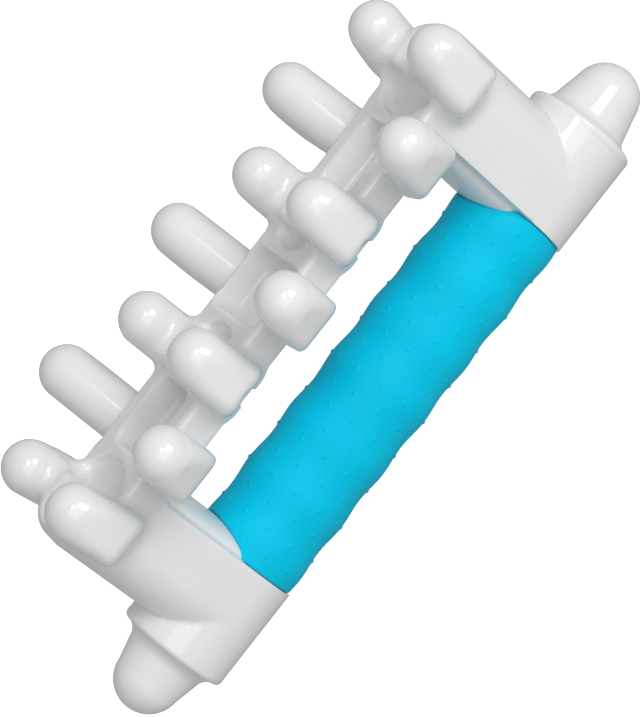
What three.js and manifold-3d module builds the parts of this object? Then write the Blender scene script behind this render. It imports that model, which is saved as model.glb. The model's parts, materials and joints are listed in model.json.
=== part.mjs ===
// Hand-held claw massager: a rigid white frame with a bar of paired claws, a cushioned hand grip between
// its two arms, and a rounded nub at each end of the handle. Millimetres, +Z from the handle to the claws.
import * as THREE from 'three';
import { mergeVertices } from 'three/addons/utils/BufferGeometryUtils.js';
import Module from 'manifold-3d';

const wasm = await Module();
wasm.setup();

// Driving dimensions. X runs along the handle and Y from front to back. Heights in Z are counted from the
// handle's axis; the finished model is raised by BLOCK_RADIUS, so that the frame's lowest line is at zero.
const PITCH = 25;
const STATIONS = 7;
const GAP = 0.3;

const NUB_RADIUS = 7.8;
const NUB_DRAFT = THREE.MathUtils.degToRad(1.2);
const NUB_TIP_Z = 60;
const NARROW_TIP_Y = 18.2;
const NARROW_LENGTH = 10.6;
const NARROW_END_LEAN = THREE.MathUtils.degToRad(5.3);
const NARROW_UNDERSIDE = THREE.MathUtils.degToRad(31);
const WIDE_TIP_Y = 36.6;
const WIDE_LENGTH = 20;
const WIDE_SPLAY = THREE.MathUtils.degToRad(38);
const WIDE_UNDERSIDE = THREE.MathUtils.degToRad(20.5);
const HEEL_HALF_WIDTH = 8;
const HEEL_START = 3;
const HEEL_EDGE = 2.5;

const BAR_HALF_WIDTH = 16;
const BAR_BOTTOM = 39.6;
const BAR_TOP = 50.2;
const BAR_EDGE = 2;
const BAR_OVERLAP = 0.4;
const POCKET_DEPTH = 8.8;
const SIDE_POCKET = { start: 33, end: 55.7, halfWidth: 8.9, corner: 3 };
const MIDDLE_POCKET = { halfLength: 10.2, halfWidth: 15.4, corner: 5 };
const DISH_DEPTH = 3;
const DISHES = [
  { centre: PITCH, radius: 12, end: 18 },
  { centre: 3 * PITCH, radius: 16, end: 68 },
];
const SADDLE_HALF_LENGTH = 7.5;
const SADDLE_RADIUS = 10.5;
const SADDLE_LOW = 52.4;
const SADDLE_HIGH = 56;

const ARM_INNER = 60.5;
const ARM_OUTER = 87;
const ARM_HALF_WIDTH = 16.5;
const ARM_ROUNDING = 13;
const ARM_TOP_ROUNDING = 6;
const RIB_HALF_WIDTH = 13.2;
const RIB_REACH = 5.2;
const RIB_BOTTOM = 8;

const BLOCK_RADIUS = 16.5;
const BLOCK_END = 90.6;
const BORE_RADIUS = 11.3;

const TUBE_RADIUS = 11;
const TUBE_WALL = 2;
const TUBE_HALF_LENGTH = 83;
const PLUG_FLANGE = 2;
const PLUG_SPIGOT = 14;
const ROD_RADIUS = 3;
const ROD_HALF_LENGTH = 98;
const WASHER_RADIUS = 6;
const WASHER_THICKNESS = 1.6;
const NUT_ACROSS_FLATS = 10;
const NUT_HEIGHT = 5;

const CAP_BASE_RADIUS = 11.5;
const CAP_BASE_X = 96.2;
const CAP_EDGE = 1.5;
const CAP_TIP_RADIUS = 10;
const CAP_TIP_X = 102.2;
const CAP_SPIGOT_LENGTH = 4;
const CAP_CAVITY_RADIUS = 7.5;
const CAP_CAVITY_END = 99.5;

const GRIP_RADIUS = 15.8;
const GRIP_WAVE = 0.5;
const GRIP_WAVE_PITCH = 18.5;
const GRIP_HALF_LENGTH = ARM_INNER - GAP;

const ROUND_SEGMENTS = 16;
const LARGE_SEGMENTS = 32;

const MATERIALS = {
  whitePlastic: { color: 0xe9eaec, roughness: 0.18, metalness: 0 },
  silicone: { color: 0x00b4dc, roughness: 0.55, metalness: 0 },
  aluminium: { color: 0xc4c7cc, roughness: 0.35, metalness: 1 },
  nylon: { color: 0x2e3033, roughness: 0.6, metalness: 0 },
  steel: { color: 0x9a9ea4, roughness: 0.3, metalness: 1 },
};

// Turns an outline drawn with Y across and Z up, and extruded along its own third axis, onto the bar.
const ACROSS_BAR = new THREE.Matrix4().makeBasis(
  new THREE.Vector3(0, 1, 0),
  new THREE.Vector3(0, 0, 1),
  new THREE.Vector3(1, 0, 0),
);

// Solids: closed three.js geometries are joined and cut as manifolds, then turned back into geometries.

function toSolid(geometry) {
  const bare = geometry.index ? geometry.toNonIndexed() : geometry.clone();
  bare.deleteAttribute('normal');
  bare.deleteAttribute('uv');
  const merged = mergeVertices(bare, 1e-4);
  const mesh = new wasm.Mesh({
    numProp: 3,
    vertProperties: new Float32Array(merged.attributes.position.array),
    triVerts: new Uint32Array(merged.index.array),
  });
  return new wasm.Manifold(mesh);
}

function toGeometry(solid) {
  const mesh = solid.getMesh();
  const geometry = new THREE.BufferGeometry();
  geometry.setAttribute('position', new THREE.BufferAttribute(new Float32Array(mesh.vertProperties), 3));
  geometry.setIndex(new THREE.BufferAttribute(new Uint32Array(mesh.triVerts), 1));
  geometry.computeVertexNormals();
  return geometry;
}

function join(solids) {
  return solids.reduce((whole, solid) => whole.add(solid));
}

function boxSolid(xs, ys, zs) {
  const geometry = new THREE.BoxGeometry(xs[1] - xs[0], ys[1] - ys[0], zs[1] - zs[0]);
  geometry.translate((xs[0] + xs[1]) / 2, (ys[0] + ys[1]) / 2, (zs[0] + zs[1]) / 2);
  return toSolid(geometry);
}

// A turned solid along X from a profile of [distance along X, radius] pairs.
function turnedAlongX(profile, segments) {
  const points = profile.map(([x, radius]) => new THREE.Vector2(radius, x));
  const geometry = new THREE.LatheGeometry(points, segments);
  geometry.rotateZ(-Math.PI / 2);
  return geometry;
}

// A turned solid along Z from a profile of [height, radius] pairs.
function turnedAlongZ(profile, segments) {
  const points = profile.map(([z, radius]) => new THREE.Vector2(radius, z));
  const geometry = new THREE.LatheGeometry(points, segments);
  geometry.rotateX(Math.PI / 2);
  return geometry;
}

function discAlongX(x0, x1, radius, segments = LARGE_SEGMENTS) {
  return turnedAlongX([[x0, 0], [x0, radius], [x1, radius], [x1, 0]], segments);
}

function ringAlongX(x0, x1, inner, outer, segments = LARGE_SEGMENTS) {
  return turnedAlongX([[x0, inner], [x0, outer], [x1, outer], [x1, inner], [x0, inner]], segments);
}

// The same solid on the other side of the middle plane, turned half round so that its faces stay outward.
function mirrorX(geometry) {
  return geometry.clone().rotateZ(Math.PI);
}

// Points [along the axis, radius] of a quarter circle, from its widest circle to its pole.
function quarterArc(centre, radius, steps, direction = 1) {
  const points = [];
  for (let step = 0; step <= steps; step += 1) {
    const angle = (step / steps) * (Math.PI / 2);
    const across = step === steps ? 0 : radius * Math.cos(angle);
    points.push([centre + direction * radius * Math.sin(angle), across]);
  }
  return points;
}

// Claw frame

function stationX(index) {
  return (index - (STATIONS - 1) / 2) * PITCH;
}

function isWide(index) {
  return index % 2 === 1;
}

// A tapered column with a ball tip centred on the origin, reaching down to a rounded root.
function nubSolid(length) {
  const rootRadius = NUB_RADIUS + length * Math.tan(NUB_DRAFT);
  const tip = quarterArc(0, NUB_RADIUS, 5);
  const root = quarterArc(-length, rootRadius, 3, -1).reverse();
  return toSolid(turnedAlongZ([...root, ...tip], ROUND_SEGMENTS));
}

// A claw's square heel: an outline across the bar, extruded along X with bevelled edges. It starts at the
// bar's corner, rises outward along the underside to the claw's outer side, and follows that side up.
function heelSolid(tipY, splay, underside) {
  const along = { y: -Math.sin(splay), z: -Math.cos(splay) };
  const outward = { y: Math.cos(splay), z: -Math.sin(splay) };
  const side = { y: tipY + HEEL_HALF_WIDTH * outward.y, z: NUB_TIP_Z + HEEL_HALF_WIDTH * outward.z };
  const rise = Math.tan(underside);
  const start = { y: BAR_HALF_WIDTH - BAR_OVERLAP, z: BAR_BOTTOM + BAR_OVERLAP };
  const reach = (start.z + (side.y - start.y) * rise - side.z) / (along.z - along.y * rise);
  const outline = new THREE.Shape();
  outline.moveTo(start.y, start.z);
  outline.lineTo(side.y + reach * along.y, side.z + reach * along.z);
  outline.lineTo(side.y + HEEL_START * along.y, side.z + HEEL_START * along.z);
  outline.lineTo(tipY + HEEL_START * along.y, NUB_TIP_Z + HEEL_START * along.z);
  outline.lineTo(start.y, BAR_TOP - BAR_OVERLAP);
  const geometry = new THREE.ExtrudeGeometry(outline, {
    depth: 2 * (HEEL_HALF_WIDTH - HEEL_EDGE),
    bevelEnabled: true,
    bevelThickness: HEEL_EDGE,
    bevelSize: HEEL_EDGE,
    bevelOffset: -HEEL_EDGE,
    bevelSegments: 2,
  });
  geometry.translate(0, 0, -(HEEL_HALF_WIDTH - HEEL_EDGE));
  geometry.applyMatrix4(ACROSS_BAR);
  return toSolid(geometry);
}

// Everything above a claw's underside, from the bar's bottom corner outward.
function aboveUnderside(underside) {
  return boxSolid([-20, 20], [0, 60], [0, 80])
    .rotate([THREE.MathUtils.radToDeg(underside), 0, 0])
    .translate([0, BAR_HALF_WIDTH - BAR_OVERLAP, BAR_BOTTOM + BAR_OVERLAP])
    .add(boxSolid([-20, 20], [0, BAR_HALF_WIDTH], [BAR_BOTTOM + BAR_OVERLAP, 80]));
}

function narrowClaw(index, side) {
  const x = stationX(index);
  const atEnd = index === 0 || index === STATIONS - 1;
  const lean = atEnd ? Math.sign(x) * side * NARROW_END_LEAN : 0;
  const shift = (NUB_TIP_Z - BAR_TOP) * Math.tan(lean);
  const nub = nubSolid(NARROW_LENGTH)
    .rotate([0, THREE.MathUtils.radToDeg(lean), 0])
    .translate([shift, NARROW_TIP_Y, NUB_TIP_Z])
    .intersect(aboveUnderside(NARROW_UNDERSIDE));
  return placeClaw(heelSolid(NARROW_TIP_Y, 0, NARROW_UNDERSIDE).add(nub), index, side);
}

function wideClaw(index, side) {
  const nub = nubSolid(WIDE_LENGTH)
    .rotate([-THREE.MathUtils.radToDeg(WIDE_SPLAY), 0, 0])
    .translate([0, WIDE_TIP_Y, NUB_TIP_Z])
    .intersect(aboveUnderside(WIDE_UNDERSIDE));
  return placeClaw(heelSolid(WIDE_TIP_Y, WIDE_SPLAY, WIDE_UNDERSIDE).add(nub), index, side);
}

function placeClaw(claw, index, side) {
  const facing = side > 0 ? claw : claw.rotate([0, 0, 180]);
  return facing.translate([stationX(index), 0, 0]);
}

function barSolid() {
  const chamfer = BAR_EDGE;
  const outline = new THREE.Shape();
  outline.moveTo(-BAR_HALF_WIDTH + chamfer, BAR_BOTTOM);
  outline.lineTo(BAR_HALF_WIDTH - chamfer, BAR_BOTTOM);
  outline.lineTo(BAR_HALF_WIDTH, BAR_BOTTOM + chamfer);
  outline.lineTo(BAR_HALF_WIDTH, BAR_TOP);
  outline.lineTo(-BAR_HALF_WIDTH, BAR_TOP);
  outline.lineTo(-BAR_HALF_WIDTH, BAR_BOTTOM + chamfer);
  outline.closePath();
  const halfLength = ARM_INNER + RIB_HALF_WIDTH;
  const geometry = new THREE.ExtrudeGeometry(outline, { depth: 2 * halfLength, bevelEnabled: false });
  geometry.translate(0, 0, -halfLength);
  geometry.applyMatrix4(ACROSS_BAR);
  return toSolid(geometry);
}

// A pocket sunk from the bar's top, with rounded corners in plan.
function pocketSolid(x0, x1, halfWidth, corner) {
  const y = halfWidth;
  const outline = new THREE.Shape();
  outline.absarc(x1 - corner, y - corner, corner, 0, Math.PI / 2);
  outline.absarc(x0 + corner, y - corner, corner, Math.PI / 2, Math.PI);
  outline.absarc(x0 + corner, -y + corner, corner, Math.PI, 1.5 * Math.PI);
  outline.absarc(x1 - corner, -y + corner, corner, 1.5 * Math.PI, 2 * Math.PI);
  const geometry = new THREE.ExtrudeGeometry(outline, {
    depth: POCKET_DEPTH + 1,
    bevelEnabled: false,
    curveSegments: 4,
  });
  geometry.translate(0, 0, BAR_TOP - POCKET_DEPTH);
  return toSolid(geometry);
}

// A shallow round dish about a narrow pair, on the side towards the middle of the bar.
function dishSolid({ centre, radius, end }) {
  const floor = BAR_TOP - DISH_DEPTH;
  const disc = turnedAlongZ([[floor, 0], [floor, radius], [BAR_TOP + 1, radius], [BAR_TOP + 1, 0]], LARGE_SEGMENTS);
  const inner = boxSolid([centre - radius - 1, end], [-SADDLE_RADIUS, SADDLE_RADIUS], [floor - 1, BAR_TOP + 1]);
  return toSolid(disc).translate([centre, 0, 0]).intersect(inner);
}

// The ridge that joins a narrow pair, with a round valley along the bar.
function saddleSolid(x0, x1, lowest) {
  const ridge = boxSolid([x0, x1], [-NARROW_TIP_Y, NARROW_TIP_Y], [BAR_TOP - DISH_DEPTH - 1, lowest + 3]);
  const valley = toSolid(discAlongX(x0 - 1, x1 + 1, SADDLE_RADIUS)).translate([0, 0, lowest + SADDLE_RADIUS]);
  return ridge.subtract(valley);
}

// An upright slab whose plan is the arm's: flat inner edge, and large round corners outside.
function armPlan() {
  const outline = new THREE.Shape();
  const centreX = ARM_OUTER - ARM_ROUNDING;
  const centreY = ARM_HALF_WIDTH - ARM_ROUNDING;
  outline.moveTo(ARM_INNER, ARM_HALF_WIDTH);
  outline.lineTo(ARM_INNER, -ARM_HALF_WIDTH);
  outline.absarc(centreX, -centreY, ARM_ROUNDING, -Math.PI / 2, 0);
  outline.absarc(centreX, centreY, ARM_ROUNDING, 0, Math.PI / 2);
  outline.closePath();
  const geometry = new THREE.ExtrudeGeometry(outline, {
    depth: SADDLE_HIGH + 3,
    bevelEnabled: false,
    curveSegments: 7,
  });
  return toSolid(geometry);
}

// The arm seen from the front, with the outer corner at its top rounded.
function armSide(top) {
  const outline = new THREE.Shape();
  outline.moveTo(ARM_INNER, 0);
  outline.lineTo(ARM_OUTER, 0);
  outline.absarc(ARM_OUTER - ARM_TOP_ROUNDING, top - ARM_TOP_ROUNDING, ARM_TOP_ROUNDING, 0, Math.PI / 2);
  outline.lineTo(ARM_INNER, top);
  outline.closePath();
  const depth = 2 * (ARM_HALF_WIDTH + 1);
  const geometry = new THREE.ExtrudeGeometry(outline, { depth, bevelEnabled: false, curveSegments: 4 });
  geometry.translate(0, 0, -depth / 2);
  geometry.rotateX(Math.PI / 2);
  return toSolid(geometry);
}

// The half-round rib on the arm's inner side; `clearance` grows it for cutting the grip.
function ribSolid(clearance) {
  const halfWidth = RIB_HALF_WIDTH + clearance;
  const reach = RIB_REACH + clearance;
  const outline = new THREE.Shape();
  outline.moveTo(ARM_INNER + 2, -halfWidth);
  outline.lineTo(ARM_INNER + 2, halfWidth);
  outline.lineTo(ARM_INNER, halfWidth);
  outline.absellipse(ARM_INNER, 0, reach, halfWidth, Math.PI / 2, 1.5 * Math.PI);
  outline.closePath();
  const bottom = RIB_BOTTOM - clearance;
  const geometry = new THREE.ExtrudeGeometry(outline, {
    depth: BAR_BOTTOM + 1 - bottom,
    bevelEnabled: false,
    curveSegments: 7,
  });
  geometry.translate(0, 0, bottom);
  return toSolid(geometry);
}

function armSolid() {
  const arm = armPlan().intersect(armSide(BAR_TOP));
  const saddle = saddleSolid(3 * PITCH - SADDLE_HALF_LENGTH, ARM_OUTER + 1, SADDLE_HIGH);
  const roundedSaddle = saddle.intersect(armPlan()).intersect(armSide(SADDLE_HIGH + 3));
  const block = toSolid(discAlongX(ARM_INNER, BLOCK_END, BLOCK_RADIUS, LARGE_SEGMENTS));
  return join([arm, roundedSaddle, block, ribSolid(0)]);
}

function bothEnds(solid) {
  return solid.add(solid.rotate([0, 0, 180]));
}

function clawFrame() {
  const side = pocketSolid(SIDE_POCKET.start, SIDE_POCKET.end, SIDE_POCKET.halfWidth, SIDE_POCKET.corner);
  const { halfLength, halfWidth, corner } = MIDDLE_POCKET;
  const middle = pocketSolid(-halfLength, halfLength, halfWidth, corner);
  const hollows = [middle, bothEnds(side), ...DISHES.map((dish) => bothEnds(dishSolid(dish)))];
  const saddle = saddleSolid(PITCH - SADDLE_HALF_LENGTH, PITCH + SADDLE_HALF_LENGTH, SADDLE_LOW);
  let frame = join([barSolid(), bothEnds(armSolid())]).subtract(join(hollows)).add(bothEnds(saddle));
  for (let index = 0; index < STATIONS; index += 1) {
    const makeClaw = isWide(index) ? wideClaw : narrowClaw;
    frame = frame.add(makeClaw(index, -1)).add(makeClaw(index, 1));
  }
  const bore = discAlongX(ARM_INNER - RIB_REACH - 1, BLOCK_END + 1, BORE_RADIUS);
  return frame.subtract(bothEnds(toSolid(bore)));
}

// Grip

function gripSleeve() {
  const steps = 42;
  const outside = [];
  for (let step = 0; step <= steps; step += 1) {
    const x = GRIP_HALF_LENGTH * ((2 * step) / steps - 1);
    const radius = GRIP_RADIUS + GRIP_WAVE * Math.cos((2 * Math.PI * x) / GRIP_WAVE_PITCH);
    outside.push([x, radius]);
  }
  const inside = TUBE_RADIUS + GAP;
  const profile = [[-GRIP_HALF_LENGTH, inside], ...outside, [GRIP_HALF_LENGTH, inside], [-GRIP_HALF_LENGTH, inside]];
  const sleeve = toSolid(turnedAlongX(profile, LARGE_SEGMENTS));
  return sleeve.subtract(bothEnds(ribSolid(GAP)));
}

// Handle core

function handleTube() {
  return ringAlongX(-TUBE_HALF_LENGTH, TUBE_HALF_LENGTH, TUBE_RADIUS - TUBE_WALL, TUBE_RADIUS);
}

function tubePlug() {
  const start = TUBE_HALF_LENGTH - PLUG_SPIGOT;
  const shoulder = TUBE_HALF_LENGTH + GAP;
  const end = shoulder + PLUG_FLANGE;
  const bore = ROD_RADIUS + GAP;
  const spigot = TUBE_RADIUS - TUBE_WALL - GAP;
  return turnedAlongX([
    [start, bore],
    [start, spigot],
    [shoulder, spigot],
    [shoulder, TUBE_RADIUS],
    [end, TUBE_RADIUS],
    [end, bore],
    [start, bore],
  ], LARGE_SEGMENTS);
}

function tieRod() {
  const chamfer = 0.6;
  const end = ROD_HALF_LENGTH;
  return turnedAlongX([
    [-end, 0],
    [-end, ROD_RADIUS - chamfer],
    [-end + chamfer, ROD_RADIUS],
    [end - chamfer, ROD_RADIUS],
    [end, ROD_RADIUS - chamfer],
    [end, 0],
  ], ROUND_SEGMENTS);
}

const WASHER_START = TUBE_HALF_LENGTH + PLUG_FLANGE + 2 * GAP;
const NUT_START = WASHER_START + WASHER_THICKNESS + GAP;

function rodWasher() {
  return ringAlongX(WASHER_START, WASHER_START + WASHER_THICKNESS, ROD_RADIUS + GAP, WASHER_RADIUS, ROUND_SEGMENTS);
}

function rodNut() {
  const cornerRadius = NUT_ACROSS_FLATS / 2 / Math.cos(Math.PI / 6);
  const end = NUT_START + NUT_HEIGHT;
  const hexagon = toSolid(discAlongX(NUT_START, end, cornerRadius, 6));
  const bore = toSolid(discAlongX(NUT_START - 1, end + 1, ROD_RADIUS + GAP, ROUND_SEGMENTS));
  return toGeometry(hexagon.subtract(bore));
}

// The concave sweep [x, radius] between the flange's rim and the cone.
function capSweep(rimX) {
  const steps = 4;
  const rise = BLOCK_RADIUS - CAP_EDGE - CAP_BASE_RADIUS;
  const points = [];
  for (let step = 1; step <= steps; step += 1) {
    const angle = (step / steps) * (Math.PI / 2);
    const x = rimX + (CAP_BASE_X - rimX) * (1 - Math.cos(angle));
    points.push([x, CAP_BASE_RADIUS + rise * (1 - Math.sin(angle))]);
  }
  return points;
}

// The end nub: a flange over the block's end, which sweeps into a cone with a ball tip, and a hollow spigot
// that closes the block's bore.
function endNub() {
  const shoulder = BLOCK_END + GAP;
  const start = shoulder - CAP_SPIGOT_LENGTH;
  const spigot = BORE_RADIUS - GAP;
  const tip = quarterArc(CAP_TIP_X, CAP_TIP_RADIUS, 8);
  return turnedAlongX([
    [start, CAP_CAVITY_RADIUS],
    [start, spigot],
    [shoulder, spigot],
    [shoulder, BLOCK_RADIUS],
    [shoulder + CAP_EDGE, BLOCK_RADIUS - CAP_EDGE],
    ...capSweep(shoulder + CAP_EDGE),
    ...tip,
    [CAP_CAVITY_END, 0],
    [CAP_CAVITY_END, CAP_CAVITY_RADIUS],
    [start, CAP_CAVITY_RADIUS],
  ], LARGE_SEGMENTS);
}

// Assembly

const massager = new THREE.Group();
massager.position.z = BLOCK_RADIUS;

function addPart(name, geometry, look) {
  const mesh = new THREE.Mesh(geometry, new THREE.MeshStandardMaterial({ ...look }));
  mesh.name = name;
  massager.add(mesh);
}

function addPair(name, geometry, look) {
  addPart(`${name}_right`, geometry, look);
  addPart(`${name}_left`, mirrorX(geometry), look);
}

addPart('claw_frame', toGeometry(clawFrame()), MATERIALS.whitePlastic);
addPart('grip_sleeve', toGeometry(gripSleeve()), MATERIALS.silicone);
addPart('handle_tube', handleTube(), MATERIALS.aluminium);
addPart('tie_rod', tieRod(), MATERIALS.steel);
addPair('tube_plug', tubePlug(), MATERIALS.nylon);
addPair('rod_washer', rodWasher(), MATERIALS.steel);
addPair('rod_nut', rodNut(), MATERIALS.steel);
addPair('end_nub', endNub(), MATERIALS.whitePlastic);

export default massager;
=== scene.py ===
"""Looks for the hand-held claw massager: a glossy white frame and end nubs, and a turquoise silicone grip.

The visible pieces are meshed here from exact distance formulas, so that every edge and root has its fillet.
Shapes are worked out in millimetres from the handle's axis, with X along the handle, Y from front to back and
Z from the handle to the claws, and turned into the row frame's metres when a mesh is made.
"""

import json
import math

import bpy
import numpy as np
from mathutils import Matrix, Vector


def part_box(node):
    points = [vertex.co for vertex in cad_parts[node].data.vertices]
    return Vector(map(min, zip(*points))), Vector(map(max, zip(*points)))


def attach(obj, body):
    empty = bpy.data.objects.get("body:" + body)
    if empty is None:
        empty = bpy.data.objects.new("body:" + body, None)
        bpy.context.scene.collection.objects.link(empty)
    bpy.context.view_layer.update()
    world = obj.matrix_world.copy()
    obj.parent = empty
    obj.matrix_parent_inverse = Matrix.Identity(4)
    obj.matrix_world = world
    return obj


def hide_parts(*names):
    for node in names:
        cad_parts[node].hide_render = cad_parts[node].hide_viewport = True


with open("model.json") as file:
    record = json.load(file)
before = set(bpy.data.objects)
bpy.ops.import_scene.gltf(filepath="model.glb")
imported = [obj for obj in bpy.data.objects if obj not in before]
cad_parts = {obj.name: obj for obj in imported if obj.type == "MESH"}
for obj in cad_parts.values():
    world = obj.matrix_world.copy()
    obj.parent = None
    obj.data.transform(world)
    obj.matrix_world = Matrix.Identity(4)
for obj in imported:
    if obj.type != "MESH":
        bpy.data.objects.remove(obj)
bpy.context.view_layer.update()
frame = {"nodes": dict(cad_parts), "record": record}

MM = 0.001

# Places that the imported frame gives, in millimetres from the handle's axis.
_tube_low, _tube_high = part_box("handle_tube")
_claw_low, _claw_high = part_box("claw_frame")
_grip_low, _grip_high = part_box("grip_sleeve")
_nub_low, _nub_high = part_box("end_nub_right")
AXIS_Z = (_tube_low.z + _tube_high.z) / 2
BLOCK_RADIUS = (AXIS_Z - _claw_low.z) / MM
BLOCK_END = _claw_high.x / MM
CLAW_TOP = (_claw_high.z - AXIS_Z) / MM
CLAW_REACH = _claw_high.y / MM
GRIP_END = _grip_high.x / MM
NUB_END = _nub_high.x / MM

# Claws
PITCH = 25.0
NUB_RADIUS = 7.8
NUB_TIP_Z = CLAW_TOP - NUB_RADIUS - 0.05
NARROW_TIP_Y = 18.2
NARROW_END_LEAN = 1.2
NARROW_START_Z = 40.3
NARROW_UNDERSIDE = math.radians(27)
WIDE_TIP_Y = CLAW_REACH - NUB_RADIUS - 0.05
WIDE_SPLAY = math.radians(38)
WIDE_START_Z = 39.0
WIDE_UNDERSIDE = math.radians(18.5)
HEEL_HALF_WIDTH = 7.9
WIDE_CORNER = 3.0
NARROW_CORNER = 4.5
HEEL_START = -2.5
HEEL_FULL = 8.0
WIDE_FLARE = 0.14
WIDE_EDGE = 2.0
NARROW_EDGE = 2.2
WIDE_FILLET = 1.5
NARROW_FILLET = 3.5
NARROW_OUTER_FILLET_LOSS = 2.3
FILLET_CHANGE_LENGTH = 6
NOTCH_RADIUS = 3.27
NOTCH_DEPTH = 0.85

# Bar. Pockets: start, end, half width, corner. Dishes: centre, radius. Saddles: centre, lowest point,
# half length, fillet.
BAR_HALF_WIDTH = 16.0
BAR_BOTTOM = 39.6
BAR_TOP = 50.2
POCKET_FLOOR = 41.2
SIDE_POCKET = (33.2, 55.6, 8.9, 3.0)
MIDDLE_POCKET = (-10.2, 10.2, 15.0, 5.0)
DISH_FLOOR = 47.2
DISHES = ((PITCH, 12.0), (3 * PITCH, 16.0))
SADDLE_RADIUS = 10.5
SADDLES = ((PITCH, 52.4, 6.5, 4.0), (3 * PITCH, 54.5, 5.0, 5.0))
END_SADDLE_TOP = SADDLES[1][1] + 2
SADDLE_SHOULDER = 2
SADDLE_INSET = 4
SADDLE_EDGE = 2.5
FLOOR_FILLET = 2.0
RIM_ROUNDING = 1.0
GAP_CORNER = 3.0
WALL_DRAFT = math.tan(math.radians(4))

# Arms
ARM_INNER = 60.5
ARM_OUTER = 87.0
ARM_HALF_WIDTH = 16.5
ARM_ROUNDING = 13.0
ARM_TOP_ROUNDING = 6.5
RIB_HALF_WIDTH = 13.2
RIB_REACH = 5.2
RIB_BOTTOM = 8.0
RIB_FILLET = 0.8
ARM_WIDENING_START = 58
ARM_WIDENING_LENGTH = 2.5
OVERLAP = 1
BORE_RADIUS = 11.3

# End nubs
LIP = 0.05
LIP_LENGTH = 0.6
CAP_TIP_RADIUS = 10.0
CAP_BASE_RADIUS = 11.5
CAP_FILLET = 4.3
CAP_EDGE = 1.5
CAP_SPIGOT_LENGTH = 4
CAP_SPIGOT_RADIUS = 11.0
CAP_CAVITY_RADIUS = 7.5
CAP_CAVITY_END = 99.5

# Grip
GRIP_RADIUS = 15.8
GRIP_WAVE = 0.35
GRIP_WAVE_PITCH = 18.5
GRIP_CLOSER = 0.15
GRIP_EDGE = 0.3
GRIP_AROUND = 288
GRIP_ALONG = 340
DOT_ROWS = 3
DOT_SPACING = 8.0
DOT_HEIGHT = 0.4
DOT_RADIUS = 0.55
DOT_FALLOFF = 1.6

# Meshing
VOXEL = 0.9
VERTEX_PULL = 0.05
SHARP_ANGLE = math.radians(55)


# ---------------------------------------------------------------- distance formulas


def union_round(a, b, radius):
    """Distance to two solids joined with a fillet of that radius."""
    reach = np.hypot(np.maximum(radius - a, 0), np.maximum(radius - b, 0))
    return np.maximum(radius, np.minimum(a, b)) - reach


def meet_round(a, b, radius):
    """Distance to what two solids share, its edge rounded to that radius."""
    reach = np.hypot(np.maximum(radius + a, 0), np.maximum(radius + b, 0))
    return np.minimum(-radius, np.maximum(a, b)) + reach


def cut_round(a, b, radius):
    """Distance to solid a less solid b, its edge rounded to that radius."""
    return meet_round(a, -b, radius)


def smooth_step(share):
    share = np.clip(share, 0, 1)
    return share * share * (3 - 2 * share)


def rounded_square(over_x, over_y, corner):
    """Distance to a corner of that radius, from how far a point is past each of its straight sides."""
    past = np.hypot(np.maximum(over_x + corner, 0), np.maximum(over_y + corner, 0))
    return past + np.minimum(np.maximum(over_x, over_y) + corner, 0) - corner


def claw(points, tip, splay, flare, heel_corner):
    """A round nub on a stem that leans out by the splay, and turns square and flares on its outer side."""
    x, y, z = (points[..., k] - tip[k] for k in range(3))
    x = x + (tip[0] - round(tip[0] / PITCH) * PITCH) * np.clip(-z / (NUB_TIP_Z - BAR_TOP), 0, 1)
    down = -y * math.sin(splay) - z * math.cos(splay)
    out = y * math.cos(splay) - z * math.sin(splay)
    square = np.sin(np.clip((down - HEEL_START) / (HEEL_FULL - HEEL_START), 0, 1) * math.pi / 2)
    radius = NUB_RADIUS + (HEEL_HALF_WIDTH - NUB_RADIUS) * square
    corner = radius + (heel_corner - radius) * square
    outer = rounded_square(np.abs(x) - radius, out - radius - flare * np.maximum(down, 0), corner)
    stem = np.where(out > 0, outer, np.hypot(x, out) - radius)
    ball = np.hypot(np.maximum(stem + radius, 0), down) - radius
    return np.where(down < 0, ball, stem)


def below_heel(points, start, slope):
    """How far a point is below a claw's underside, which rises outward from the bar's front."""
    y, z = points[..., 1], points[..., 2]
    return (y - BAR_HALF_WIDTH) * math.sin(slope) - (z - start) * math.cos(slope)


def heeled_claw(points, tip, splay, flare, heel_corner, start, slope, edge):
    below = np.maximum(below_heel(points, start, slope), BAR_BOTTOM - points[..., 2])
    return meet_round(claw(points, tip, splay, flare, heel_corner), below, edge)


def wide_claw(points, station):
    tip = (station, WIDE_TIP_Y, NUB_TIP_Z)
    shape = (WIDE_SPLAY, WIDE_FLARE, WIDE_CORNER, WIDE_START_Z, WIDE_UNDERSIDE, WIDE_EDGE)
    return heeled_claw(points, tip, *shape)


def narrow_claw(points, station, lean):
    tip = (station + lean, NARROW_TIP_Y, NUB_TIP_Z)
    shape = (0.0, 0.0, NARROW_CORNER, NARROW_START_Z, NARROW_UNDERSIDE, NARROW_EDGE)
    return heeled_claw(points, tip, *shape)


def pocket(points, x0, x1, half_width, corner):
    """A pocket sunk from the bar's top: round corners in plan, drafted walls and a filleted floor."""
    x, y, z = points[..., 0], points[..., 1], points[..., 2]
    narrowing = (BAR_TOP - z) * WALL_DRAFT
    sides = x - x1 if x0 < 0 else np.maximum(x0 - x, x - x1)
    plan = rounded_square(sides + narrowing, y - half_width + narrowing, corner)
    return meet_round(plan, POCKET_FLOOR - z, FLOOR_FILLET)


def dish(points, centre, radius):
    """A shallow round dish about a narrow pair, on the side towards the middle of the bar."""
    x, y, z = points[..., 0], points[..., 1], points[..., 2]
    plan = np.maximum(np.hypot(x - centre, y) - radius, x - centre)
    return meet_round(plan, DISH_FLOOR - z, FLOOR_FILLET)


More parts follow.
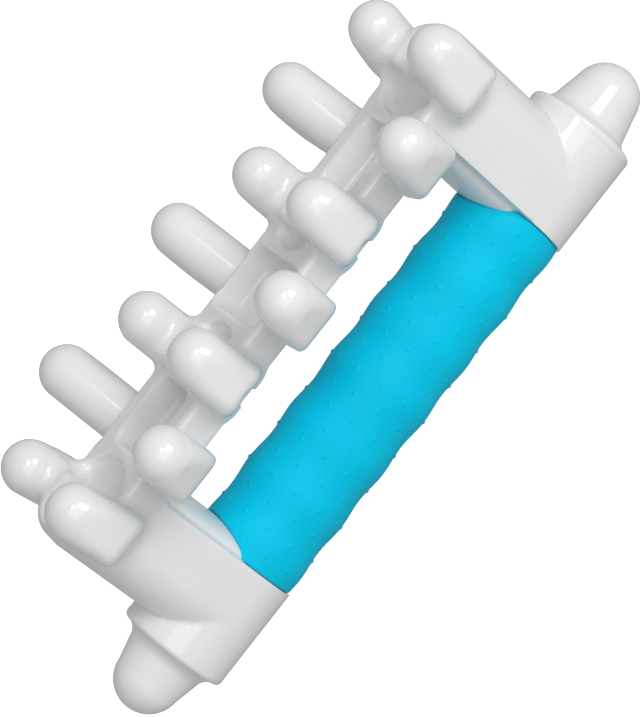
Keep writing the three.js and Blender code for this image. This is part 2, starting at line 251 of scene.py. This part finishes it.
def saddle(points, centre, lowest, half_length):
    """The ridge that joins a narrow pair, with a round valley along the bar. The end one runs to the arm."""
    x, y, z = points[..., 0], points[..., 1], points[..., 2]
    valley = SADDLE_RADIUS - np.hypot(y, np.minimum(z - lowest - SADDLE_RADIUS, 0))
    ridge = np.maximum(np.maximum(valley, z - lowest - SADDLE_SHOULDER), y - NARROW_TIP_Y + SADDLE_INSET)
    ridge = np.maximum(ridge, DISH_FLOOR - SADDLE_INSET - z)
    sides = centre - half_length - x
    if centre < 2 * PITCH:
        sides = np.maximum(sides, x - centre - half_length)
    return meet_round(ridge, sides, SADDLE_EDGE)


def arm_outer(points):
    """The arm's outer side: rounded in plan, and rounded over at the top up to the end saddle."""
    x, y, z = points[..., 0], points[..., 1], points[..., 2]
    plan = meet_round(x - ARM_OUTER, y - ARM_HALF_WIDTH, ARM_ROUNDING)
    return meet_round(plan, z - END_SADDLE_TOP, ARM_TOP_ROUNDING)


def claw_frame(points):
    """Distance to the white frame. All four quarters are alike, so the points are folded into one."""
    points = np.abs(points * (1, 1, 0)) + points * (0, 0, 1)
    x, y, z = points[..., 0], points[..., 1], points[..., 2]

    # The bar and arms are one ring seen from the front, round outside and open inside.
    outline = np.maximum(x - ARM_OUTER, z - BAR_TOP)
    gap = meet_round(x - ARM_INNER, z - BAR_BOTTOM, GAP_CORNER)
    ring = np.maximum(np.maximum(outline, -gap), -z)
    widening = np.clip((x - ARM_WIDENING_START) / ARM_WIDENING_LENGTH, 0, 1)
    width = BAR_HALF_WIDTH + (ARM_HALF_WIDTH - BAR_HALF_WIDTH) * widening
    edge = RIM_ROUNDING + np.clip((z - BAR_BOTTOM) / (BAR_TOP - BAR_BOTTOM), 0, 1)
    ring = meet_round(ring, y - width, edge)
    ring = np.maximum(ring, meet_round(x - ARM_OUTER, y - ARM_HALF_WIDTH, ARM_ROUNDING))

    block = np.maximum(np.hypot(y, z) - BLOCK_RADIUS + LIP, np.maximum(ARM_INNER - x, x - BLOCK_END))
    body = np.minimum(ring, block)

    ellipse = np.hypot(np.maximum(ARM_INNER - x, 0) / RIB_REACH, y / RIB_HALF_WIDTH)
    rib = np.maximum((ellipse - 1) * RIB_REACH, np.maximum(x - ARM_INNER - OVERLAP, RIB_BOTTOM - z))
    rib = np.maximum(rib, z - BAR_BOTTOM - OVERLAP)
    body = union_round(body, rib, RIB_FILLET)

    for station in (0.0, 2 * PITCH):
        body = union_round(body, wide_claw(points, station), WIDE_FILLET)
    for opening in (MIDDLE_POCKET, SIDE_POCKET):
        body = cut_round(body, pocket(points, *opening), RIM_ROUNDING)
    for centre, radius in DISHES:
        body = cut_round(body, dish(points, centre, radius), RIM_ROUNDING)
    for centre, lowest, half_length, fillet in SADDLES:
        body = union_round(body, saddle(points, centre, lowest, half_length), fillet)
    on_arm = (x > ARM_INNER + GAP_CORNER) & (z > BLOCK_RADIUS + 2)
    body = np.where(on_arm, np.maximum(body, arm_outer(points)), body)

    for centre, lean in ((PITCH, 0.0), (3 * PITCH, NARROW_END_LEAN)):
        outer_side = smooth_step((x - 3 * PITCH) / FILLET_CHANGE_LENGTH)
        fillet = NARROW_FILLET - NARROW_OUTER_FILLET_LOSS * outer_side
        body = union_round(body, narrow_claw(points, centre, lean), fillet)
    below = below_heel(points, NARROW_START_Z, NARROW_UNDERSIDE)
    notch = np.hypot(x - PITCH, below - NOTCH_RADIUS + NOTCH_DEPTH) - NOTCH_RADIUS
    body = np.maximum(body, -np.maximum(notch, BAR_HALF_WIDTH - 2 - y))

    bore = np.maximum(np.hypot(y, z) - BORE_RADIUS, ARM_INNER - RIB_REACH - OVERLAP - x)
    return np.maximum(body, -bore)


# ---------------------------------------------------------------- meshing


def surface_gradient(formula, points, step=0.02):
    """The formula's unit gradient at points."""
    sides = []
    for axis in range(3):
        offset = np.zeros(3)
        offset[axis] = step
        sides.append(formula(points + offset) - formula(points - offset))
    normals = np.stack(sides, -1)
    return normals / np.maximum(np.linalg.norm(normals, axis=-1, keepdims=True), 1e-9)


def grid_values(formula, low, counts, voxel):
    """The formula at each grid point, worked out one slice of X at a time."""
    axes = [low[a] + voxel * np.arange(counts[a]) for a in range(3)]
    values = np.empty(counts, np.float32)
    y, z = np.meshgrid(axes[1], axes[2], indexing="ij")
    for i, x in enumerate(axes[0]):
        values[i] = formula(np.stack([np.full_like(y, x), y, z], -1))
    return values


def dual_contour(formula, low, high, voxel):
    """A quad mesh of the formula's zero surface: one vertex a cell, placed so that sharp edges stay sharp."""
    low = np.asarray(low, float)
    counts = tuple(int(math.ceil((high[a] - low[a]) / voxel)) + 1 for a in range(3))
    values = grid_values(formula, low, counts, voxel)
    inside = values < 0
    cell_counts = tuple(c - 1 for c in counts)
    size = cell_counts[0] * cell_counts[1] * cell_counts[2]
    normal_sum = np.zeros((size, 3, 3))
    target_sum = np.zeros((size, 3))
    point_sum = np.zeros((size, 3))
    hits = np.zeros(size)
    quads = []
    for axis in range(3):
        others = [a for a in range(3) if a != axis]
        lower = [slice(None)] * 3
        upper = [slice(None)] * 3
        lower[axis], upper[axis] = slice(None, -1), slice(1, None)
        crossing = inside[tuple(lower)] != inside[tuple(upper)]
        where = np.argwhere(crossing)
        keep = np.all([(where[:, a] > 0) & (where[:, a] < counts[a] - 1) for a in others], axis=0)
        where = where[keep]
        start = values[tuple(lower)][tuple(where.T)].astype(float)
        end = values[tuple(upper)][tuple(where.T)].astype(float)
        points = low + where * voxel
        points[:, axis] += voxel * start / (start - end)
        normals = surface_gradient(formula, points)
        outer = normals[:, :, None] * normals[:, None, :]
        target = normals * (normals * points).sum(1, keepdims=True)
        around = []
        for step_a, step_b in ((-1, -1), (0, -1), (0, 0), (-1, 0)):
            cell = where.copy()
            cell[:, others[0]] += step_a
            cell[:, others[1]] += step_b
            index = np.ravel_multi_index(tuple(cell.T), cell_counts)
            around.append(index)
            np.add.at(normal_sum, index, outer)
            np.add.at(target_sum, index, target)
            np.add.at(point_sum, index, points)
            np.add.at(hits, index, 1)
        ring = np.stack(around, 1)
        flip = (start < 0) == (axis != 1)
        ring[~flip] = ring[~flip][:, ::-1]
        quads.append(ring)
    quads = np.concatenate(quads)
    used, quads = np.unique(quads, return_inverse=True)
    quads = quads.reshape(-1, 4)
    middle = point_sum[used] / hits[used, None]
    matrix = normal_sum[used] + VERTEX_PULL * np.eye(3)
    target = target_sum[used] + VERTEX_PULL * middle
    shift = np.linalg.solve(matrix, target[..., None])[..., 0] - middle
    cell_low = low + np.stack(np.unravel_index(used, cell_counts), -1) * voxel
    return np.clip(middle + shift, cell_low, cell_low + voxel), quads


def mesh_object(name, vertices, faces, body="root"):
    """A smooth-shaded object from millimetre points about the handle's axis."""
    mesh = bpy.data.meshes.new(name)
    placed = np.asarray(vertices) * MM + (0, 0, AXIS_Z)
    mesh.from_pydata(placed.tolist(), [], [tuple(int(v) for v in f) for f in faces])
    mesh.validate()
    mesh.shade_smooth()
    mesh.set_sharp_from_angle(angle=SHARP_ANGLE)
    made = bpy.data.objects.new(name, mesh)
    bpy.context.scene.collection.objects.link(made)
    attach(made, body)
    return made


# ---------------------------------------------------------------- pieces


def make_claw_frame():
    margin = 2 * VOXEL
    low = (-BLOCK_END - margin, -CLAW_REACH - margin, -BLOCK_RADIUS - margin)
    high = (BLOCK_END + margin, CLAW_REACH + margin, CLAW_TOP + margin)
    vertices, quads = dual_contour(claw_frame, low, high, VOXEL)
    made = mesh_object("claw_frame_moulding", vertices, quads)
    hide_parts("claw_frame")
    return made


def lathe(name, profile, segments):
    """A turned piece along X from (x, radius) pairs that close on themselves or on the axis."""
    turns = np.linspace(0, 2 * math.pi, segments, endpoint=False)
    vertices, rings = [], []
    for x, radius in profile:
        first = len(vertices)
        if radius < 1e-6:
            vertices.append((x, 0.0, 0.0))
            rings.append([first] * segments)
        else:
            vertices.extend((x, radius * math.cos(t), radius * math.sin(t)) for t in turns)
            rings.append(list(range(first, first + segments)))
    faces = []
    for inner, outer in zip(rings, rings[1:] + rings[:1]):
        for s in range(segments):
            n = (s + 1) % segments
            corners = [inner[s], inner[n], outer[n], outer[s]]
            unique = list(dict.fromkeys(corners))
            if len(unique) > 2:
                faces.append(unique)
    return mesh_object(name, vertices, faces)


def arc(centre, radius, start, end, steps):
    """Points (x, radius) along an arc, angles in degrees from +X."""
    angles = np.radians(np.linspace(start, end, steps + 1))
    return [(centre[0] + radius * math.cos(a), centre[1] + radius * math.sin(a)) for a in angles]


def make_end_nub(side):
    """A cone with a ball tip, which sweeps out to a flange whose thin lip covers the block's end."""
    tip_x = NUB_END - CAP_TIP_RADIUS
    start = BLOCK_END + 0.02
    spigot_start = start - CAP_SPIGOT_LENGTH
    lip_start = start - LIP_LENGTH
    lip_inside = BLOCK_RADIUS - LIP / 2
    edge_centre = (start + 0.3, BLOCK_RADIUS - CAP_EDGE)
    fillet_r = CAP_BASE_RADIUS + CAP_FILLET
    span = CAP_EDGE + CAP_FILLET
    drop = fillet_r - edge_centre[1]
    fillet_x = edge_centre[0] + math.sqrt(span * span - drop * drop)
    touch = math.degrees(math.atan2(drop, fillet_x - edge_centre[0]))
    profile = [(spigot_start, CAP_CAVITY_RADIUS), (spigot_start, CAP_SPIGOT_RADIUS)]
    profile += [(start, CAP_SPIGOT_RADIUS), (start, lip_inside)]
    profile += [(lip_start, lip_inside), (lip_start, BLOCK_RADIUS)]
    profile += arc(edge_centre, CAP_EDGE, 90, touch, 6)
    profile += arc((fillet_x, fillet_r), CAP_FILLET, 180 + touch, 266, 14)[1:]
    profile += arc((tip_x, 0), CAP_TIP_RADIUS, 86, 0, 24)
    profile += [(CAP_CAVITY_END, 0.0), (CAP_CAVITY_END, CAP_CAVITY_RADIUS)]
    profile = [(side * x, max(r, 0.0)) for x, r in profile]
    name = "end_nub_right" if side > 0 else "end_nub_left"
    made = lathe(name + "_cap", profile, 96)
    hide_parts(name)
    return made


def grip_end(angle):
    """How far the sleeve reaches at an angle round the handle: the arm, or the rib at the top."""
    across = GRIP_RADIUS * np.cos(angle)
    up = GRIP_RADIUS * np.sin(angle)
    inside = np.clip(1 - (across / RIB_HALF_WIDTH) ** 2, 0, None)
    notch = np.where(up > 0, RIB_REACH * np.sqrt(inside), 0)
    return GRIP_END + GRIP_CLOSER - notch


def make_grip():
    """The wavy sleeve as a grid round and along the handle, its ends cut back where the ribs meet it."""
    angles = np.linspace(0, 2 * math.pi, GRIP_AROUND, endpoint=False)
    ends = grip_end(angles)
    shares = np.linspace(-1, 1, GRIP_ALONG)
    x = ends[:, None] * shares[None, :]
    radius = GRIP_RADIUS + GRIP_WAVE * np.cos(2 * math.pi * x / GRIP_WAVE_PITCH)
    edge_distance = ends[:, None] - np.abs(x)
    short = np.clip(GRIP_EDGE - edge_distance, 0, GRIP_EDGE)
    radius -= GRIP_EDGE - np.sqrt(GRIP_EDGE**2 - short**2)
    radius += dots(x, angles[:, None] * GRIP_RADIUS)
    inner = BORE_RADIUS * np.ones_like(ends)
    columns = [(-ends, inner)]
    columns += [(x[:, k], radius[:, k]) for k in range(GRIP_ALONG)]
    columns += [(ends, inner)]
    vertices = []
    for col_x, col_r in columns:
        vertices.append(np.stack([col_x, col_r * np.cos(angles), col_r * np.sin(angles)], -1))
    rings = len(columns)
    index = np.arange(rings * GRIP_AROUND).reshape(rings, GRIP_AROUND)
    following = np.roll(index, -1, axis=1)
    ring_next = np.roll(index, -1, axis=0)
    corner_next = np.roll(ring_next, -1, axis=1)
    quads = np.stack([index, following, corner_next, ring_next], -1).reshape(-1, 4)
    made = mesh_object("grip_sleeve_silicone", np.concatenate(vertices), quads)
    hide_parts("grip_sleeve")
    return made


def dots(x, arc_length):
    """Height of the small raised dots: rings a third of a wave apart, every other ring half a space on."""
    row_pitch = GRIP_WAVE_PITCH / DOT_ROWS
    circumference = 2 * math.pi * GRIP_RADIUS
    spacing = circumference / round(circumference / DOT_SPACING)
    row = np.round(x / row_pitch)
    off_x = x - row * row_pitch
    phase = arc_length + np.mod(row, 2) * spacing / 2
    off_arc = phase - np.round(phase / spacing) * spacing
    reach = np.hypot(off_x, off_arc) / DOT_RADIUS
    return DOT_HEIGHT * np.exp(-(reach**2) * DOT_FALLOFF)


# ---------------------------------------------------------------- materials


def new_material(name, color, roughness, metallic=0.0):
    """A Principled material; what is the same all over is set on the shader's own sockets."""
    material = bpy.data.materials.new(name)
    material.use_nodes = True
    shader = material.node_tree.nodes["Principled BSDF"]
    shader.inputs["Base Color"].default_value = (*color, 1)
    shader.inputs["Roughness"].default_value = roughness
    shader.inputs["Metallic"].default_value = metallic
    return material


def noise_between(material, coordinates, scale, low, high, detail=3.0):
    """A noise texture mapped between two values or two colours."""
    tree = material.node_tree
    noise = tree.nodes.new("ShaderNodeTexNoise")
    noise.inputs["Scale"].default_value = scale
    noise.inputs["Detail"].default_value = detail
    tree.links.new(coordinates, noise.inputs["Vector"])
    ramp = tree.nodes.new("ShaderNodeValToRGB")
    ramp.color_ramp.elements[0].position = 0.35
    ramp.color_ramp.elements[1].position = 0.65
    ramp.color_ramp.elements[0].color = (*low, 1) if isinstance(low, tuple) else (low, low, low, 1)
    ramp.color_ramp.elements[1].color = (*high, 1) if isinstance(high, tuple) else (high, high, high, 1)
    tree.links.new(noise.outputs["Fac"], ramp.inputs["Fac"])
    return ramp.outputs["Color"], noise.outputs["Fac"]


def bump(material, height, strength, distance):
    tree = material.node_tree
    node = tree.nodes.new("ShaderNodeBump")
    node.inputs["Strength"].default_value = strength
    node.inputs["Distance"].default_value = distance
    tree.links.new(height, node.inputs["Height"])
    tree.links.new(node.outputs["Normal"], tree.nodes["Principled BSDF"].inputs["Normal"])


def object_coordinates(material):
    return material.node_tree.nodes.new("ShaderNodeTexCoord").outputs["Object"]


def white_plastic():
    """Polished white ABS: faint flow mottling in the gloss and an almost flat moulded skin."""
    material = new_material("white_plastic", (0.80, 0.80, 0.805), 0.12)
    shader = material.node_tree.nodes["Principled BSDF"]
    shader.inputs["IOR"].default_value = 1.5
    coords = object_coordinates(material)
    tint, _ = noise_between(material, coords, 28.0, (0.79, 0.795, 0.80), (0.82, 0.82, 0.82))
    material.node_tree.links.new(tint, shader.inputs["Base Color"])
    gloss, _ = noise_between(material, coords, 60.0, 0.10, 0.14)
    material.node_tree.links.new(gloss, shader.inputs["Roughness"])
    _, skin = noise_between(material, coords, 220.0, 0.0, 1.0, detail=2.0)
    bump(material, skin, 0.03, 0.00005)
    return material


def grip_silicone():
    """Turquoise silicone: satin, with a fine skin and slight clouding in the colour."""
    material = new_material("grip_silicone", (0.0, 0.55, 0.79), 0.6)
    shader = material.node_tree.nodes["Principled BSDF"]
    shader.inputs["Specular IOR Level"].default_value = 0.1
    coords = object_coordinates(material)
    tint, _ = noise_between(material, coords, 45.0, (0.0, 0.53, 0.76), (0.0, 0.57, 0.82))
    material.node_tree.links.new(tint, shader.inputs["Base Color"])
    gloss, _ = noise_between(material, coords, 140.0, 0.54, 0.66)
    material.node_tree.links.new(gloss, shader.inputs["Roughness"])
    _, skin = noise_between(material, coords, 900.0, 0.0, 1.0, detail=4.0)
    bump(material, skin, 0.15, 0.0001)
    return material


def hidden_metal(name, color, roughness, streak):
    """Metal with fine drawn lines along the handle."""
    material = new_material(name, color, roughness, metallic=1.0)
    shader = material.node_tree.nodes["Principled BSDF"]
    tree = material.node_tree
    mapping = tree.nodes.new("ShaderNodeMapping")
    mapping.inputs["Scale"].default_value = (2.0, streak, streak)
    tree.links.new(object_coordinates(material), mapping.inputs["Vector"])
    gloss, lines = noise_between(material, mapping.outputs["Vector"], 12.0, roughness - 0.08, roughness + 0.1)
    tree.links.new(gloss, shader.inputs["Roughness"])
    bump(material, lines, 0.1, 0.00005)
    return material


def plug_nylon():
    material = new_material("plug_nylon", (0.04, 0.04, 0.045), 0.55)
    shader = material.node_tree.nodes["Principled BSDF"]
    gloss, grain = noise_between(material, object_coordinates(material), 400.0, 0.48, 0.62)
    material.node_tree.links.new(gloss, shader.inputs["Roughness"])
    bump(material, grain, 0.2, 0.00005)
    return material


def dress(piece, material):
    piece.data.materials.clear()
    piece.data.materials.append(material)


# ---------------------------------------------------------------- stage


def make_camera():
    """A long lens in front of the claws, 30 degrees up, rolled so that the handle runs up to the right."""
    azimuth, elevation, roll = math.radians(-2.39), math.radians(30.0), math.radians(50.62)
    distance = 0.747
    target = Vector((-0.00413, 0.0, AXIS_Z + 0.02013))
    back = Vector((
        math.sin(azimuth) * math.cos(elevation),
        -math.cos(azimuth) * math.cos(elevation),
        math.sin(elevation),
    ))
    level_right = Vector((math.cos(azimuth), math.sin(azimuth), 0))
    level_up = back.cross(level_right)
    right = math.cos(roll) * level_right - math.sin(roll) * level_up
    up = math.sin(roll) * level_right + math.cos(roll) * level_up
    data = bpy.data.cameras.new("camera")
    data.sensor_width = 36
    data.lens = 137.2
    camera = bpy.data.objects.new("camera", data)
    turn = Matrix((right, up, back)).transposed()
    camera.matrix_world = Matrix.Translation(target + back * distance) @ turn.to_4x4()
    bpy.context.scene.collection.objects.link(camera)
    bpy.context.scene.camera = camera


def area_light(name, direction, distance, size, power, color=(1, 1, 1)):
    """A softbox that faces the middle of the object from a direction."""
    data = bpy.data.lights.new(name, "AREA")
    data.shape = "RECTANGLE"
    data.size, data.size_y = size
    data.energy = power
    data.color = color
    light = bpy.data.objects.new(name, data)
    direction = Vector(direction).normalized()
    light.location = Vector((0, 0, AXIS_Z + 0.03)) + direction * distance
    light.rotation_mode = "QUATERNION"
    light.rotation_quaternion = direction.to_track_quat("Z", "Y")
    bpy.context.scene.collection.objects.link(light)


def make_lights():
    """A softbox to the right, a small bright one above the camera, a wide frontal one, and a pale room."""
    area_light("key", (0.56, -0.75, 0.37), 1.2, (0.5, 0.5), 5.2)
    area_light("camera_side", (0.23, -0.69, 0.69), 1.1, (0.34, 0.2), 1.2)
    area_light("front_fill", (-0.04, -0.87, 0.5), 1.1, (0.8, 0.8), 3.4)
    world = bpy.data.worlds.new("studio")
    world.use_nodes = True
    background = world.node_tree.nodes["Background"]
    background.inputs["Color"].default_value = (1, 1, 1, 1)
    background.inputs["Strength"].default_value = 0.4
    bpy.context.scene.world = world


def make_floor():
    """A wide pale floor that the two handle blocks stand on."""
    half = 3.0
    mesh = bpy.data.meshes.new("floor")
    corners = [(-half, -half, 0), (half, -half, 0), (half, half, 0), (-half, half, 0)]
    mesh.from_pydata(corners, [], [(0, 1, 2, 3)])
    floor = bpy.data.objects.new("floor", mesh)
    bpy.context.scene.collection.objects.link(floor)
    material = new_material("floor", (0.9, 0.9, 0.9), 0.9)
    shader = material.node_tree.nodes["Principled BSDF"]
    shader.inputs["Emission Color"].default_value = (1, 1, 1, 1)
    shader.inputs["Emission Strength"].default_value = 0.85
    dress(floor, material)
    floor.visible_diffuse = False
    floor.visible_glossy = False


# ---------------------------------------------------------------- assembly

make_camera()
make_lights()
make_floor()
bpy.context.scene.view_settings.view_transform = "Standard"

white = white_plastic()
dress(make_claw_frame(), white)
for end in (-1, 1):
    dress(make_end_nub(end), white)
dress(make_grip(), grip_silicone())

slot_looks = {
    "tube_aluminium": hidden_metal("tube_aluminium", (0.77, 0.78, 0.80), 0.3, 60.0),
    "fastener_steel": hidden_metal("fastener_steel", (0.55, 0.56, 0.58), 0.35, 90.0),
    "plug_nylon": plug_nylon(),
}
for row in frame["record"]["subparts"]:
    look = slot_looks.get(row["material_slot"])
    if look:
        dress(frame["nodes"][row["node"]], look)
